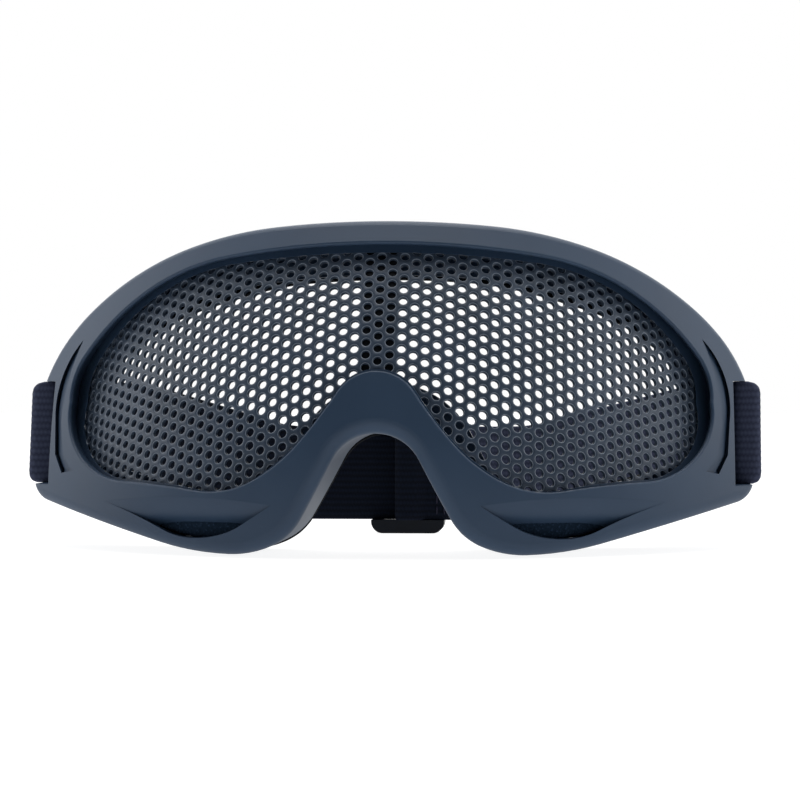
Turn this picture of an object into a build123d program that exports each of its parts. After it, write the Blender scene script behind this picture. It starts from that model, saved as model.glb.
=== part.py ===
from build123d import *
import math
import os

# Mesh safety goggles with a soft moulded frame, a domed perforated steel lens, foam pads and an
# elastic headband that a three-bar slider shortens. Lengths are in millimetres. X runs across the
# face, Y runs back from the nose bridge towards the wearer, and Z is up. The pieces are modelled
# with Y = 0 at the foremost point of the lens and then moved back as one, so that the origin is
# under the middle of the whole part.

os.makedirs("parts", exist_ok=True)

# Domed lens surface, shared by the frame wall, the lens and its retainer
lens_foot_height = 13.75
lens_lean_radius = 77.0
lens_bow_radius = 71.6
lens_bow_height = 46.0
bow_tighten_share = 0.33
lens_wrap_depth = 4.05
lens_wrap_reach = 70.0
wrap_grow_share = 0.03

# Lens sheet and its holes
lens_thickness = 0.6
lens_overlap = 2.5
lens_hole_width = 3.9
lens_hole_pitch = 5.9
lens_hole_margin = 1.4
hole_sides = 6

# Frame moulding
frame_top_height = 79.0
frame_foot_height = 0.6
frame_half_width = 84.5
wing_half_width = 89.4
frame_front_wall = 3.5
frame_side_wall = 3.4
frame_wrap_depth = 4.0
frame_wrap_reach = 80.0
frame_edge_radius = 3.0
ring_edge_radius = 0.5
frame_crown_radius = 160.0
frame_corner_rise = 10.6
wing_corner_rise = 11.9
frame_corner_radius = 6.0
nose_arch_height = 28.7
ring_nose_height = 43.1
ring_top_height = 73.2
ring_half_width = 78.4
ring_widest_height = 35.5
ledge_top_width = 1.9
ledge_side_width = 3.4
ledge_foot_width = 0.5
ledge_thickness = 1.2
flange_width = 12.0
flange_thickness = 2.4

# Face curve that the rear flange and the foam follow
face_front_depth = 30.0
face_lean_share = 0.2
face_bow_radius = 120.0

# Waist of the skirt and its vents
waist_depth = 1.5
waist_front_width = 7.5
waist_rear_width = 4.5
waist_foot_height = 50.0
top_vent_length = 11.0
top_vent_width = 3.4
top_vent_pitch = 15.0
top_vent_count = 3

# Scoops under the eyes
scoop_inner_x = 24.0
scoop_outer_x = 67.0
scoop_end_height = 12.2
scoop_top_height = 13.8
scoop_foot_height = 4.3
scoop_depth = 9.0
scoop_deep_x = 40.0
scoop_deep_reach = 16.0
vent_foam_thickness = 3.0
top_foam_inner_x = 2.5
vent_foam_top_height = 10.0

# Groove between the ring and the side wing
groove_depth = 3.6
groove_shelf_depth = 1.4
groove_width = 1.9
groove_slit_width = 0.7
groove_edge_margin = 1.2
groove_lean = 6.6
groove_foot_lean = 3.0
groove_foot_width = 3.2
groove_top_height = 51.4
groove_middle_height = 42.8
groove_waist_height = 31.0
groove_bend_height = 23.0
groove_foot_height = 18.5

# Strap bars on the wings
bar_width = 3.2
bar_depth = 3.6
bar_middle_depth = 61.0
bar_slot_width = 2.2
bar_radius = 1.3
strap_play = 0.3

# Retainer behind the lens, with the post between the eyes
retainer_reach = 3.8
retainer_rim = 0.9
retainer_thickness = 2.4
retainer_inner_gap = 0.4
post_width = 8.6

# Face foam
foam_thickness = 9.5
foam_side_margin = 0.5
foam_inner_width = 11.0
foam_crown_width = 2.4
foam_crown_depth = 3.0
foam_crown_steps = 4

# Headband
webbing_width = 25.0
webbing_thickness = 1.5
strap_side_foot = 15.8
strap_rear_depth = 119.0
strap_straight_half = 28.0
strap_rise_half = 76.0
strap_bend_radius = 25.0
loop_tab_depth = 84.0
loop_corner_radius = 1.5
slider_tab_length = 12.0
slider_tab_bend = 3.0

# Three-bar slider
slider_length = 20.0
slider_end_wall = 3.6
slider_bar_width = 3.0
slider_centre_bar_width = 3.4
slider_bar_depth = 2.0
slider_radius = 1.6
slider_play = 0.3
strap_rear_foot = slider_end_wall + slider_play

# Clearances
seat_gap = 0.15
foam_gap = 0.2
webbing_gap = 0.3
cut_overrun = 5.0
far_reach = 160.0
surface_step = 5.0
surface_tolerance = 0.02


def lens_depth(x, z):
    """Depth of the front of the lens at a place in the front view."""
    lean = (z - lens_foot_height) ** 2 / (2 * lens_lean_radius)
    bow = x**2 / (2 * (lens_bow_radius - bow_tighten_share * (z - lens_bow_height)))
    wrap = lens_wrap_depth + wrap_grow_share * (z - lens_bow_height)
    return lean + bow + wrap * (x / lens_wrap_reach) ** 6


def frame_base(x, z):
    """Depth of the moulding's inner face, which wraps less than the lens at the temples."""
    lean = (z - lens_foot_height) ** 2 / (2 * lens_lean_radius)
    bow = x**2 / (2 * (lens_bow_radius - bow_tighten_share * (z - lens_bow_height)))
    return lean + bow + frame_wrap_depth * (x / frame_wrap_reach) ** 4


def frame_skin(x, z):
    """Depth of the outer face of the moulding, one wall outside its inner face."""
    step = surface_tolerance
    slope_x = (frame_base(x + step, z) - frame_base(x - step, z)) / (2 * step)
    slope_z = (frame_base(x, z + step) - frame_base(x, z - step)) / (2 * step)
    return frame_base(x, z) - frame_front_wall * math.sqrt(1 + slope_x**2 + slope_z**2)


def face_depth(x, z):
    """Depth of the rear of the frame, which follows the face."""
    return face_front_depth + face_lean_share * z + x**2 / (2 * face_bow_radius)


def depth_sheet(depth, shift):
    """Spline face over the whole front view, at the given depth formula plus a shift."""
    half = wing_half_width + 2 * cut_overrun
    low = -cut_overrun
    high = frame_top_height + 2 * cut_overrun
    columns = round(2 * half / surface_step)
    rows = round((high - low) / surface_step)
    grid = []
    for row in range(rows + 1):
        z = low + (high - low) * row / rows
        line = []
        for column in range(columns + 1):
            x = -half + 2 * half * column / columns
            line.append((x, depth(x, z) + shift, z))
        grid.append(line)
    return Face.make_surface_from_array_of_points(grid, tol=surface_tolerance)


def behind(depth, shift=0.0):
    """Everything behind a depth formula."""
    return Solid.extrude(depth_sheet(depth, shift), Vector(0, far_reach, 0))


def before(depth, shift=0.0):
    """Everything in front of a depth formula."""
    return Solid.extrude(depth_sheet(depth, shift), Vector(0, -far_reach, 0))


def prism(face, front=-far_reach, rear=far_reach):
    """A front-view outline carried along Y."""
    return Solid.extrude(face.moved(Location((0, front, 0))), Vector(0, rear - front, 0))


def tangent_chain(points, direction):
    """Arcs through points in the front view, each tangent to the one before."""
    edges = []
    tangent = Vector(direction)
    for start, end in zip(points, points[1:]):
        first = (start[0], 0, start[1])
        last = (end[0], 0, end[1])
        arc = Edge.make_tangent_arc(first, tangent, last)
        edges.append(arc)
        tangent = arc.tangent_at(1)
    return edges


def mirrored_face(edges):
    """Face inside a half outline and its mirror image."""
    both = edges + [edge.mirror(Plane.YZ) for edge in edges]
    return Face(Wire(both))


def inset(face, distance):
    """The same outline drawn in by a distance, or out where it is negative."""
    return offset(face, amount=-distance, kind=Kind.ARC).faces()[0]


def frame_outline(half_width, corner_rise, upper_shares):
    """Silhouette of the moulding from the front, with the arch for the nose."""
    height = frame_top_height - frame_foot_height
    upper = [(0, frame_top_height)]
    for across, up in upper_shares:
        upper.append((across * half_width, frame_foot_height + up * height))
    lower_shares = [(0.118, 0.783), (0.204, 0.299), (0.284, 0.078), (0.408, 0.0), (0.609, 0.077)]
    arch_height = nose_arch_height - frame_foot_height
    lower = [(0, nose_arch_height)]
    for across, up in lower_shares:
        lower.append((across * frame_half_width, frame_foot_height + up * arch_height))
    corner = (half_width, frame_foot_height + corner_rise)
    edges = tangent_chain(upper, (1, 0, 0))
    edges += tangent_chain(lower, (1, 0, 0))
    edges.append(Edge.make_line((lower[-1][0], 0, lower[-1][1]), (corner[0], 0, corner[1])))
    edges.append(Edge.make_line((upper[-1][0], 0, upper[-1][1]), (corner[0], 0, corner[1])))
    face = mirrored_face(edges)
    low = [v for v in face.vertices() if abs(abs(v.X) - half_width) < surface_tolerance]
    low = [v for v in low if abs(v.Z - corner[1]) < surface_tolerance]
    return face.fillet_2d(frame_corner_radius, low)


def ring_outline(top, side, foot):
    """Outline of the lens opening, drawn in from the ring's edge by three ledge widths."""
    height = ring_top_height - ring_widest_height
    widest = (ring_half_width - side, ring_widest_height)
    upper = [(0, ring_top_height - top)]
    upper_shares = [(0.476, 0.928, 0.3), (0.774, 0.684, 0.6), (0.960, 0.305, 0.9)]
    for across, up, share in upper_shares:
        x = across * ring_half_width - share * side
        upper.append((x, ring_widest_height + up * height - (1 - share) * top))
    upper.append(widest)
    rise = ring_nose_height - ring_widest_height
    lower = [(0, ring_nose_height + foot)]
    lower_shares = [
        (0.111, -0.382),
        (0.227, 1.197),
        (0.357, 2.289),
        (0.548, 2.658),
        (0.798, 2.421),
        (0.963, 1.513),
    ]
    for index, (across, down) in enumerate(lower_shares):
        share = index / len(lower_shares)
        x = across * ring_half_width + (1 - share) * foot - share**3 * side
        lower.append((x, ring_widest_height - down * rise + share * foot))
    lower.append(widest)
    return mirrored_face(tangent_chain(upper, (1, 0, 0)) + tangent_chain(lower, (1, 0, 0)))


skirt_shares = [(0.296, 0.985), (0.594, 0.926), (0.848, 0.783), (0.944, 0.641), (1.0, 0.42)]
wing_shares = [(0.288, 0.987), (0.553, 0.926), (0.84, 0.741), (0.91, 0.66), (0.978, 0.53), (1.0, 0.43)]
outline = frame_outline(frame_half_width, frame_corner_rise, skirt_shares)
wing_outline = frame_outline(wing_half_width, wing_corner_rise, wing_shares)
ring_edge = ring_outline(0, 0, 0)
lens_opening = ring_outline(ledge_top_width, ledge_side_width, ledge_foot_width)
cavity_outline = inset(outline, frame_side_wall)
skin_rear = behind(frame_skin)
lens_rear = behind(lens_depth)


def slab(x_low, x_high, y_low, y_high, z_low, z_high):
    """Box between six planes."""
    box = Box(x_high - x_low, y_high - y_low, z_high - z_low, align=(Align.MIN, Align.MIN, Align.MIN))
    return box.moved(Location((x_low, y_low, z_low)))


def front_polygon(points):
    """Face in the front view through straight lines."""
    corners = [(x, 0, z) for x, z in points]
    return Face(Wire.make_polygon(corners, close=True))


def arc_through(first, middle, last):
    """Front-view arc through three places."""
    return Edge.make_three_point_arc(*[(x, 0, z) for x, z in (first, middle, last)])


def pair(solid):
    """A solid and its mirror image on the other side of the nose."""
    return [solid, solid.mirror(Plane.YZ)]


def scoop_skin(x, z):
    """Floor of a scoop, which eases in from the skin and is deepest at its crisp lower lip."""
    share = (scoop_top_height - z) / (scoop_top_height - scoop_foot_height)
    fade = 1 + ((abs(x) - scoop_deep_x) / scoop_deep_reach) ** 4
    return frame_skin(x, z) + scoop_depth * max(share, 0) ** 2 / fade


def scoop_tool():
    """Crescent that is cut under one eye, through the wall along its lower lip."""
    width = scoop_outer_x - scoop_inner_x
    height = scoop_end_height - scoop_foot_height
    lip_shares = [(0.0, 1.0), (0.165, 0.42), (0.32, 0.07), (0.47, 0.0), (0.63, 0.22), (1.0, 1.0)]
    lip = [(scoop_inner_x + across * width, scoop_foot_height + up * height) for across, up in lip_shares]
    first_run = Edge.make_line((lip[0][0], 0, lip[0][1]), (lip[1][0], 0, lip[1][1]))
    edges = [first_run] + tangent_chain(lip[1:], first_run.tangent_at(1))
    edges.append(arc_through(lip[0], ((scoop_inner_x + scoop_outer_x) / 2, scoop_top_height), lip[-1]))
    return prism(Face(Wire(edges))) & before(scoop_skin)


def groove_tools():
    """Shelf between the ring and the wing, wider at its foot, and the slit along its outer side."""
    edge = frame_half_width - groove_edge_margin
    top = (edge - groove_lean, groove_top_height)
    middle = (edge - groove_edge_margin, groove_middle_height)
    bend = (edge - groove_width / 3, groove_bend_height)
    foot = (edge - groove_foot_lean, groove_foot_height)
    foot_in = (foot[0] - groove_foot_width, foot[1] + groove_slit_width)
    tools = []
    for width, depth, inner_foot in (
        (groove_width, groove_shelf_depth, foot_in),
        (groove_slit_width, groove_depth, (foot[0] - groove_slit_width, foot[1] + groove_slit_width)),
    ):
        bend_in = (bend[0] - width - width / 3, groove_bend_height)
        edges = [
            arc_through(top, middle, (edge, groove_waist_height)),
            Edge.make_line((edge, 0, groove_waist_height), (bend[0], 0, bend[1])),
            Edge.make_line((bend[0], 0, bend[1]), (foot[0], 0, foot[1])),
            Edge.make_line((foot[0], 0, foot[1]), (inner_foot[0], 0, inner_foot[1])),
            Edge.make_line((inner_foot[0], 0, inner_foot[1]), (bend_in[0], 0, bend_in[1])),
            Edge.make_line((bend_in[0], 0, bend_in[1]), (edge - width, 0, groove_waist_height)),
            arc_through((edge - width, groove_waist_height), (middle[0] - width, middle[1] - width), top),
        ]
        tools.append(prism(Face(Wire(edges))) & before(frame_skin, depth))
    return tools


def wing_rear_tool():
    """What lies behind the wings, outside the skirt: they are as thick as their strap bars there."""
    ring = prism(inset(wing_outline, -cut_overrun), 0, far_reach) - prism(outline)
    width = wing_half_width + 2 * cut_overrun
    rear = bar_middle_depth + bar_depth / 2
    return ring & slab(-width, width, rear, far_reach, -cut_overrun, frame_top_height + cut_overrun)


def slot_tool():
    """Notch and slot for the webbing in one wing, which leave an upright rounded bar."""
    slot_outer = frame_half_width + bar_slot_width
    outer = slot_outer + bar_width
    slot_foot = strap_side_foot - strap_play
    slot_head = strap_side_foot + webbing_width + strap_play
    front = bar_middle_depth - bar_depth / 2
    rear = bar_middle_depth + bar_depth / 2
    room = slab(frame_half_width, outer + cut_overrun, -cut_overrun, far_reach, slot_foot, slot_head)
    plan = Face(Wire.make_polygon([(slot_outer, front), (outer, front), (outer, rear), (slot_outer, rear)],
                                  close=True))
    plan = plan.fillet_2d(bar_radius, plan.vertices())
    return room - Solid.extrude(plan, Vector(0, 0, frame_top_height))


def waist_tool():
    """Shallow channel round the top of the skirt, between the ring and the rear flange."""
    outside = prism(inset(outline, -cut_overrun)) - prism(inset(outline, waist_depth))
    width = wing_half_width + 2 * cut_overrun
    upper = slab(-width, width, 0, far_reach, waist_foot_height, frame_top_height + 2 * cut_overrun)
    return outside & upper & behind(frame_skin, waist_front_width) & before(face_depth, -waist_rear_width)


def top_vents():
    """Slots through the top of the skirt, each turned to follow the waist."""
    tools = []
    for index in range(top_vent_count):
        x = (index + 0.5) * top_vent_pitch
        z = frame_top_height - x**2 / (2 * frame_crown_radius)
        front = frame_skin(x, z) + waist_front_width
        rear = face_depth(x, z) - waist_rear_width
        ahead = (frame_skin(x + surface_step, z) + face_depth(x + surface_step, z)) / 2
        here = (frame_skin(x, z) + face_depth(x, z)) / 2
        turn = math.degrees(math.atan2(ahead - here, surface_step))
        slot = SlotOverall(top_vent_length, top_vent_width)
        cutter = extrude(slot, amount=3 * frame_side_wall, both=True)
        tools.append(cutter.moved(Location((x, (front + rear) / 2, z), (0, 0, turn))))
    return tools


def edges_on(solid, depth, shift=0.0):
    """Edges of a solid that lie on a depth formula."""
    found = []
    for edge in solid.edges():
        place = edge.position_at(0.5)
        if abs(place.Y - depth(place.X, place.Z) - shift) < 2 * surface_tolerance:
            found.append(edge)
    return found


def lip_edges(body):
    """Edges where the opening of the ring meets the front of the moulding."""
    outside = inset(ring_edge, -ledge_foot_width)
    inside = inset(ring_edge, ledge_foot_width)
    found = []
    for edge in edges_on(body, frame_skin):
        place = edge.position_at(0.5)
        point = Vector(place.X, 0, place.Z)
        if outside.is_inside(point) and not inside.is_inside(point):
            found.append(edge)
    return found


def frame_solid():
    """The soft moulding: ring, skirt, rear flange, wings, grooves, scoops and strap bars."""
    body = prism(wing_outline, -cut_overrun, far_reach) & skin_rear & before(face_depth)
    body = body.fillet(frame_edge_radius, edges_on(body, frame_skin))
    body -= wing_rear_tool()
    cavity = prism(cavity_outline) & lens_rear & before(face_depth, -flange_thickness)
    body -= cavity
    body -= prism(inset(outline, flange_width)) & lens_rear
    body -= prism(ring_edge) & before(lens_depth, -ledge_thickness)
    body -= prism(lens_opening) & before(lens_depth, ledge_thickness)
    body = body.fillet(ring_edge_radius, lip_edges(body))
    body -= waist_tool()
    for cutter in top_vents() + groove_tools() + [scoop_tool(), slot_tool()]:
        for tool in pair(cutter):
            body -= tool
    return body


def lens_back(x, z):
    """Depth of the rear face of the lens sheet, one thickness behind its front along the normal."""
    step = surface_tolerance
    slope_x = (lens_depth(x + step, z) - lens_depth(x - step, z)) / (2 * step)
    slope_z = (lens_depth(x, z + step) - lens_depth(x, z - step)) / (2 * step)
    return lens_depth(x, z) + lens_thickness * math.sqrt(1 + slope_x**2 + slope_z**2)


def hole_places():
    """Centres and stretches of the lens holes, evenly staggered along the curved sheet."""
    step = surface_tolerance
    places = []
    column_pitch = lens_hole_pitch * math.sqrt(3) / 2
    column = 0
    x = 0
    while x < ring_half_width:
        z = ring_nose_height
        slope_x = (lens_depth(x + step, z) - lens_depth(x - step, z)) / (2 * step)
        squeeze_x = 1 / math.sqrt(1 + slope_x**2)
        z = ring_nose_height + (column % 2) * lens_hole_pitch / 2
        rows = [z]
        while z < ring_top_height:
            slope_z = (lens_depth(x, z + step) - lens_depth(x, z - step)) / (2 * step)
            z += lens_hole_pitch / math.sqrt(1 + slope_z**2)
            rows.append(z)
        z = rows[0]
        while z > lens_foot_height:
            z -= lens_hole_pitch
            rows.append(z)
        for z in rows:
            slope_z = (lens_depth(x, z + step) - lens_depth(x, z - step)) / (2 * step)
            places.append((x, z, squeeze_x, 1 / math.sqrt(1 + slope_z**2)))
        column += 1
        x += column_pitch * squeeze_x
    return places


def lens_holes():
    """Hexagons in the front view that become regular on the curved sheet."""
    rim = inset(lens_opening, lens_hole_margin + lens_hole_width / 2)
    holes = []
    for x, z, squeeze_x, squeeze_z in hole_places():
        if not rim.is_inside(Vector(x, 0, z)):
            continue
        points = []
        for side in range(hole_sides):
            angle = math.radians(360 * side / hole_sides)
            across = lens_hole_width / 2 * math.cos(angle) * squeeze_x
            points.append((x + across, z + lens_hole_width / 2 * math.sin(angle) * squeeze_z))
        holes.append(points)
        if x > 0:
            holes.append([(-px, pz) for px, pz in reversed(points)])
    return holes


def mesh_lens_solid():
    """Domed steel sheet with a plain border and staggered holes."""
    border = inset(lens_opening, -lens_overlap)
    wires = [Wire.make_polygon([(x, 0, z) for x, z in points], close=True) for points in lens_holes()]
    print("lens holes", len(wires))
    holed = Face(border.outer_wire(), wires)
    return prism(holed, 0, far_reach / 2) & behind(lens_depth, seat_gap) & before(lens_back, seat_gap)


def lens_retainer_solid():
    """Ring that holds the lens against the moulding, with the post between the eyes."""
    outer = inset(lens_opening, -retainer_reach)
    inner = inset(lens_opening, -retainer_inner_gap)
    front = 2 * seat_gap
    rear = front + retainer_thickness
    band = behind(lens_back, front)
    ring = (prism(outer, 0, far_reach / 2) - prism(inner)) & band & before(lens_back, rear)
    rim_front = behind(lens_depth, seat_gap)
    rim = prism(outer, 0, far_reach / 2) - prism(inset(outer, retainer_rim))
    rim = rim & rim_front & before(lens_back, rear)
    room = prism(inset(outline, frame_side_wall + 2 * seat_gap))
    half = post_width / 2
    foot = ring_nose_height - retainer_reach / 2
    post = slab(-half, half, 0, far_reach / 2, foot, ring_top_height)
    post = post & band & before(lens_back, rear)
    return ((ring + rim) & room) + post


def vent_foam_solid():
    """Open-cell foam strip behind one scoop."""
    low = frame_foot_height
    strip = slab(scoop_inner_x + vent_foam_thickness, scoop_outer_x - vent_foam_thickness,
                 -cut_overrun, far_reach / 2, low, vent_foam_top_height)
    room = prism(inset(outline, frame_side_wall + foam_gap), -cut_overrun, far_reach / 2)
    layer = strip & room & behind(lens_depth, foam_gap)
    return layer & before(lens_depth, foam_gap + vent_foam_thickness)


def top_vent_foam_solid():
    """Foam strip under the top vents on one side of the nose."""
    outer = inset(outline, frame_side_wall + foam_gap)
    inner = inset(outline, frame_side_wall + foam_gap + vent_foam_thickness)
    strip = prism(outer, 0, far_reach / 2) - prism(inner)
    reach = top_vent_count * top_vent_pitch
    strip = strip & slab(top_foam_inner_x, reach, 0, far_reach, waist_foot_height, 2 * frame_top_height)
    front = 2 * seat_gap + retainer_thickness + foam_gap
    strip = strip & behind(lens_back, front)
    return strip & before(face_depth, -flange_thickness - foam_gap)


def face_foam_solid():
    """Cushion on the rear flange, crowned towards the face in steps. The frame stands on its foot."""
    drop = Location((0, 0, -foam_side_margin - outline.bounding_box().min.Z))
    layers = []
    for step in range(foam_crown_steps):
        turn = math.pi / 2 * step / (foam_crown_steps - 1)
        drawn_in = foam_crown_width * (1 - math.cos(turn))
        rear = foam_gap + foam_thickness - foam_crown_depth * (1 - math.sin(turn))
        outer = inset(outline, foam_side_margin + drawn_in).moved(drop)
        inner = inset(outline, foam_inner_width - drawn_in).moved(drop)
        ring = prism(outer, 0, far_reach / 2) - prism(inner)
        layers.append(ring & behind(face_depth, foam_gap) & before(face_depth, rear))
    return layers[0].fuse(*layers[1:])


# Places of the headband in plan, worked out from the bars and the layers of webbing
webbing_layer = webbing_thickness + webbing_gap
strap_side_x = frame_half_width + bar_slot_width + bar_width + webbing_gap + webbing_thickness / 2
strap_arc_radius = strap_side_x - strap_straight_half
strap_arc_middle = strap_rear_depth - strap_arc_radius
loop_front = bar_middle_depth - bar_depth / 2 - webbing_gap - webbing_thickness / 2
loop_rear = bar_middle_depth + bar_depth / 2 + webbing_gap + webbing_thickness / 2
run_start = loop_rear + webbing_layer
return_start = loop_rear + 3 * webbing_layer


def arc_x(depth, inner_offset):
    """Distance from the middle of a side run's webbing at a depth behind the nose."""
    radius = strap_arc_radius - inner_offset
    return strap_straight_half + math.sqrt(radius**2 - (depth - strap_arc_middle) ** 2)


def webbing_band(inner_offset, start):
    """Side run in plan, from the straight stretch to the bar, as one tall layer."""
    edges = []
    straight_ends = []
    bar_ends = []
    for side in (-webbing_thickness / 2, webbing_thickness / 2):
        radius = strap_arc_radius - inner_offset + side
        first = (strap_straight_half, strap_arc_middle + radius, 0)
        last = (arc_x(start, inner_offset - side), start, 0)
        turn = (math.pi / 2 + math.asin((start - strap_arc_middle) / radius)) / 2
        middle_x = strap_straight_half + radius * math.cos(turn)
        middle = (middle_x, strap_arc_middle + radius * math.sin(turn), 0)
        edges.append(Edge.make_three_point_arc(first, middle, last))
        straight_ends.append(first)
        bar_ends.append(last)
    edges.append(Edge.make_line(*straight_ends))
    edges.append(Edge.make_line(*bar_ends))
    return Solid.extrude(Face(Wire(edges)), Vector(0, 0, frame_top_height))


def strap_rise():
    """Front view of one side of the headband, which climbs from the slider to the bar."""
    far = strap_side_x + cut_overrun
    low = [(strap_straight_half, strap_rear_foot), (strap_rise_half, strap_side_foot)]
    low.append((far, strap_side_foot))
    high = [(x, z + webbing_width) for x, z in reversed(low)]
    face = front_polygon(low + high)
    bends = [v for v in face.vertices() if abs(v.X - strap_rise_half) < surface_tolerance]
    return face.fillet_2d(strap_bend_radius, bends)


def strap_run(inner_offset, start):
    """One side run of the headband, at its place among the layers."""
    return webbing_band(inner_offset, start) & prism(strap_rise(), 0, far_reach)


def ribbon(points, foot):
    """Webbing one layer thick that follows a plan route and stands on its edge."""
    route = FilletPolyline(*[(x, y, 0) for x, y in points], radius=loop_corner_radius)
    wall = offset(Wire(route.edges()), amount=webbing_thickness / 2, side=Side.BOTH)
    solid = Solid.extrude(Face(Wire(wall.edges())), Vector(0, 0, webbing_width))
    for end, inward in ((points[0], points[1]), (points[-1], points[-2])):
        away = Vector(end[0] - inward[0], end[1] - inward[1], 0)
        turn = math.degrees(math.atan2(away.Y, away.X))
        trim = Box(webbing_thickness, 2 * webbing_thickness, 3 * webbing_width,
                   align=(Align.MIN, Align.CENTER, Align.CENTER))
        solid -= trim.moved(Location((end[0], end[1], 0), (0, 0, turn)))
    return solid.moved(Location((0, 0, foot)))


def strap_loop(tab_end):
    """Webbing round one bar, from the end of the side run to the end of the inner layer."""
    inner = frame_half_width + bar_slot_width - webbing_gap - webbing_thickness / 2
    run_x = arc_x(run_start, 0)
    points = [(run_x, run_start), (run_x, loop_rear), (strap_side_x, bar_middle_depth)]
    points += [(strap_side_x, loop_front), (inner, loop_front), (inner, loop_rear)]
    points.append((arc_x(return_start, webbing_layer), return_start))
    if tab_end > return_start:
        points.append((arc_x(tab_end, webbing_layer), tab_end))
    else:
        points[-1] = (points[-1][0], return_start - webbing_layer)
        points.append((points[-1][0], return_start))
    return ribbon(points, strap_side_foot)


def rear_layer(x_low, x_high, inner_offset):
    """Straight stretch of one layer of the headband behind the head."""
    middle = strap_rear_depth - inner_offset
    half = webbing_thickness / 2
    top = strap_rear_foot + webbing_width
    return slab(x_low, x_high, middle - half, middle + half, strap_rear_foot, top)


def slider_end_loop_solid():
    """End of the inner layer, folded round the slider's middle bar and sewn to itself."""
    rear = strap_rear_depth - webbing_layer
    front = rear - slider_bar_depth - 2 * webbing_gap - webbing_thickness
    side = -slider_centre_bar_width / 2 - webbing_gap - webbing_thickness / 2
    bend = slider_centre_bar_width / 2 + webbing_gap
    points = [(slider_tab_length, rear), (side, rear), (side, front), (bend, front)]
    points += [(bend + slider_tab_bend, rear - webbing_layer), (slider_tab_length, rear - webbing_layer)]
    return ribbon(points, strap_rear_foot)


def strap_slider_solid():
    """Three-bar slider: two outer bars over the headband and a middle bar for the sewn end."""
    plate_front = strap_rear_depth + webbing_thickness / 2 + webbing_gap
    plate_rear = plate_front + slider_bar_depth
    bar_rear = strap_rear_depth - webbing_layer - webbing_thickness / 2 - webbing_gap
    bar_front = bar_rear - slider_bar_depth
    half = slider_length / 2
    foot = strap_rear_foot - slider_play
    head = strap_rear_foot + webbing_width + slider_play
    top = head + slider_end_wall
    face = front_polygon([(-half, 0), (half, 0), (half, top), (-half, top)])
    body = prism(face.fillet_2d(2 * slider_radius, face.vertices()), bar_front, plate_rear)
    window = half - slider_bar_width
    body -= slab(-slider_length, slider_length, 0, plate_front, foot, head)
    body -= slab(-window, window, 0, far_reach, foot, head)
    middle = slider_centre_bar_width / 2
    body += slab(-middle, middle, bar_front, bar_rear, foot - slider_play, head + slider_play)
    return body


nodes = {
    "frame": [frame_solid()],
    "mesh_lens": [mesh_lens_solid()],
    "lens_retainer": [lens_retainer_solid()],
    "face_foam": [face_foam_solid()],
    "left_vent_foam": [vent_foam_solid().mirror(Plane.YZ)],
    "right_vent_foam": [vent_foam_solid()],
    "left_top_foam": [top_vent_foam_solid().mirror(Plane.YZ)],
    "right_top_foam": [top_vent_foam_solid()],
    "left_strap_loop": [strap_loop(loop_tab_depth).mirror(Plane.YZ)],
    "right_strap_loop": [strap_loop(0)],
    "left_strap_run": [strap_run(0, run_start).mirror(Plane.YZ)],
    "right_strap_run": [strap_run(0, run_start)],
    "strap_return_run": [strap_run(webbing_layer, return_start)],
    "rear_strap": [rear_layer(-strap_straight_half, strap_straight_half, 0)],
    "strap_return_end": [rear_layer(slider_tab_length, strap_straight_half, webbing_layer)],
    "slider_end_loop": [slider_end_loop_solid()],
    "strap_slider": [strap_slider_solid()],
}

boxes = [solid.bounding_box() for solids in nodes.values() for solid in solids]
front_y = min(box.min.Y for box in boxes)
rear_y = max(box.max.Y for box in boxes)
centre_y = (front_y + rear_y) / 2
print("middle of the depth", round(centre_y, 3))
for name, solids in nodes.items():
    placed = [solid.moved(Location((0, -centre_y, 0))) for solid in solids]
    for solid in placed:
        box = solid.bounding_box()
        print(name, [round(v, 1) for v in (*box.min, *box.max)])
    export_step(placed[0] if len(placed) == 1 else Compound(placed), "parts/" + name + ".step")
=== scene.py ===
"""Looks of the mesh safety goggles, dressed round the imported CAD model."""

import logging
import math
from dataclasses import dataclass
from enum import Enum

import bmesh
import bpy
import numpy as np
from bmesh.types import BMEdge, BMesh, BMVert
from bpy.types import Material, Node, NodeSocket, Object
from mathutils import Matrix, Vector


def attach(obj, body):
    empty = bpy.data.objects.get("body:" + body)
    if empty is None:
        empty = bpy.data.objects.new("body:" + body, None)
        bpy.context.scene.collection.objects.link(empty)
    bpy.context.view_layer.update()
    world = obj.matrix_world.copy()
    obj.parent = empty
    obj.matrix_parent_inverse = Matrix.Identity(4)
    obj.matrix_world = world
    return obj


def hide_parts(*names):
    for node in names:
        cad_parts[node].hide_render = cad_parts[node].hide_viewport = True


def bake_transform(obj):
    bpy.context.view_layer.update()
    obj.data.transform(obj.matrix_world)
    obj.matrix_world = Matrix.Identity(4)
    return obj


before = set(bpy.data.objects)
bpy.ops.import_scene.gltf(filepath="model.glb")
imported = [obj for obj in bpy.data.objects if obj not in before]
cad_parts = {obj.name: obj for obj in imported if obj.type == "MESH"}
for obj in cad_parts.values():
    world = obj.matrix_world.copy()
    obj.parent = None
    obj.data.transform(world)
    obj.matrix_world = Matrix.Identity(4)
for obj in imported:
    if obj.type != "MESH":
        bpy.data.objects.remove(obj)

LOG = logging.getLogger("goggles")
MM = 0.001
TINY = 1e-9

# Depths are measured back from the foremost point of the lens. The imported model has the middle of
# the whole part at Y = 0, so one shift brings a depth into its frame.
MIDDLE_DEPTH = 60.067


def place(x: float, depth: float, z: float) -> Vector:
    """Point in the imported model's frame.

    Args:
        x: Distance to the right of the nose, in millimetres.
        depth: Distance behind the foremost point of the lens, in millimetres.
        z: Height above the table, in millimetres.

    Returns:
        The point in metres.
    """
    return Vector((x * MM, (depth - MIDDLE_DEPTH) * MM, z * MM))


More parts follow.
